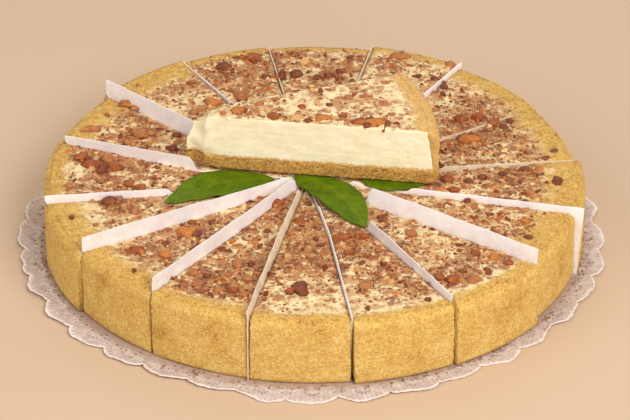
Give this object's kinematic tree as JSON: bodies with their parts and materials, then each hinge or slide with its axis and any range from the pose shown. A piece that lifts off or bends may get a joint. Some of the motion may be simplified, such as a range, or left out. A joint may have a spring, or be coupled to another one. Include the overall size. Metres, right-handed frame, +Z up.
{
  "type": "baked cheesecake",
  "caption": "Round baked cheesecake cut into slices with paper dividers, chopped nuts on top, a slice laid over green leaves, on a lace paper doily.",
  "frame": {"origin": "middle of the doily's underside, where the whole rests", "axes": "+Z up, -Y towards the cut face of the laid slice, +X to the right of it"},
  "size_m": [0.307, 0.307, 0.0724],
  "materials": {
    "crumb": "dry pressed biscuit crumb, granular",
    "filling": "baked cream with browned chopped nuts",
    "divider_paper": "smooth white greaseproof paper",
    "leaf": "fresh green leaf, satin",
    "doily_paper": "embossed lace paper"
  },
  "bodies": {
    "root": {"slice_01_crust": "crumb", "slice_01_filling": "filling", "slice_02_crust": "crumb", "slice_02_filling": "filling", "slice_03_crust": "crumb", "slice_03_filling": "filling", "slice_04_crust": "crumb", "slice_04_filling": "filling", "slice_05_crust": "crumb", "slice_05_filling": "filling", "slice_06_crust": "crumb", "slice_06_filling": "filling", "slice_07_crust": "crumb", "slice_07_filling": "filling", "slice_08_crust": "crumb", "slice_08_filling": "filling", "slice_09_crust": "crumb", "slice_09_filling": "filling", "slice_10_crust": "crumb", "slice_10_filling": "filling", "slice_11_crust": "crumb", "slice_11_filling": "filling", "slice_12_crust": "crumb", "slice_12_filling": "filling", "slice_13_crust": "crumb", "slice_13_filling": "filling", "slice_14_crust": "crumb", "slice_14_filling": "filling", "slice_15_crust": "crumb", "slice_15_filling": "filling", "slice_16_crust": "crumb", "slice_16_filling": "filling", "laid_slice_crust": "crumb", "laid_slice_filling": "filling", "divider_01": "divider_paper", "divider_02": "divider_paper", "divider_03": "divider_paper", "divider_04": "divider_paper", "divider_05": "divider_paper", "divider_06": "divider_paper", "divider_07": "divider_paper", "divider_08": "divider_paper", "divider_09": "divider_paper", "divider_10": "divider_paper", "divider_11": "divider_paper", "divider_12": "divider_paper", "divider_13": "divider_paper", "divider_14": "divider_paper", "divider_15": "divider_paper", "divider_16": "divider_paper", "leaf_1": "leaf", "leaf_2": "leaf", "leaf_3": "leaf", "doily": "doily_paper"}
  },
  "joints": []
}
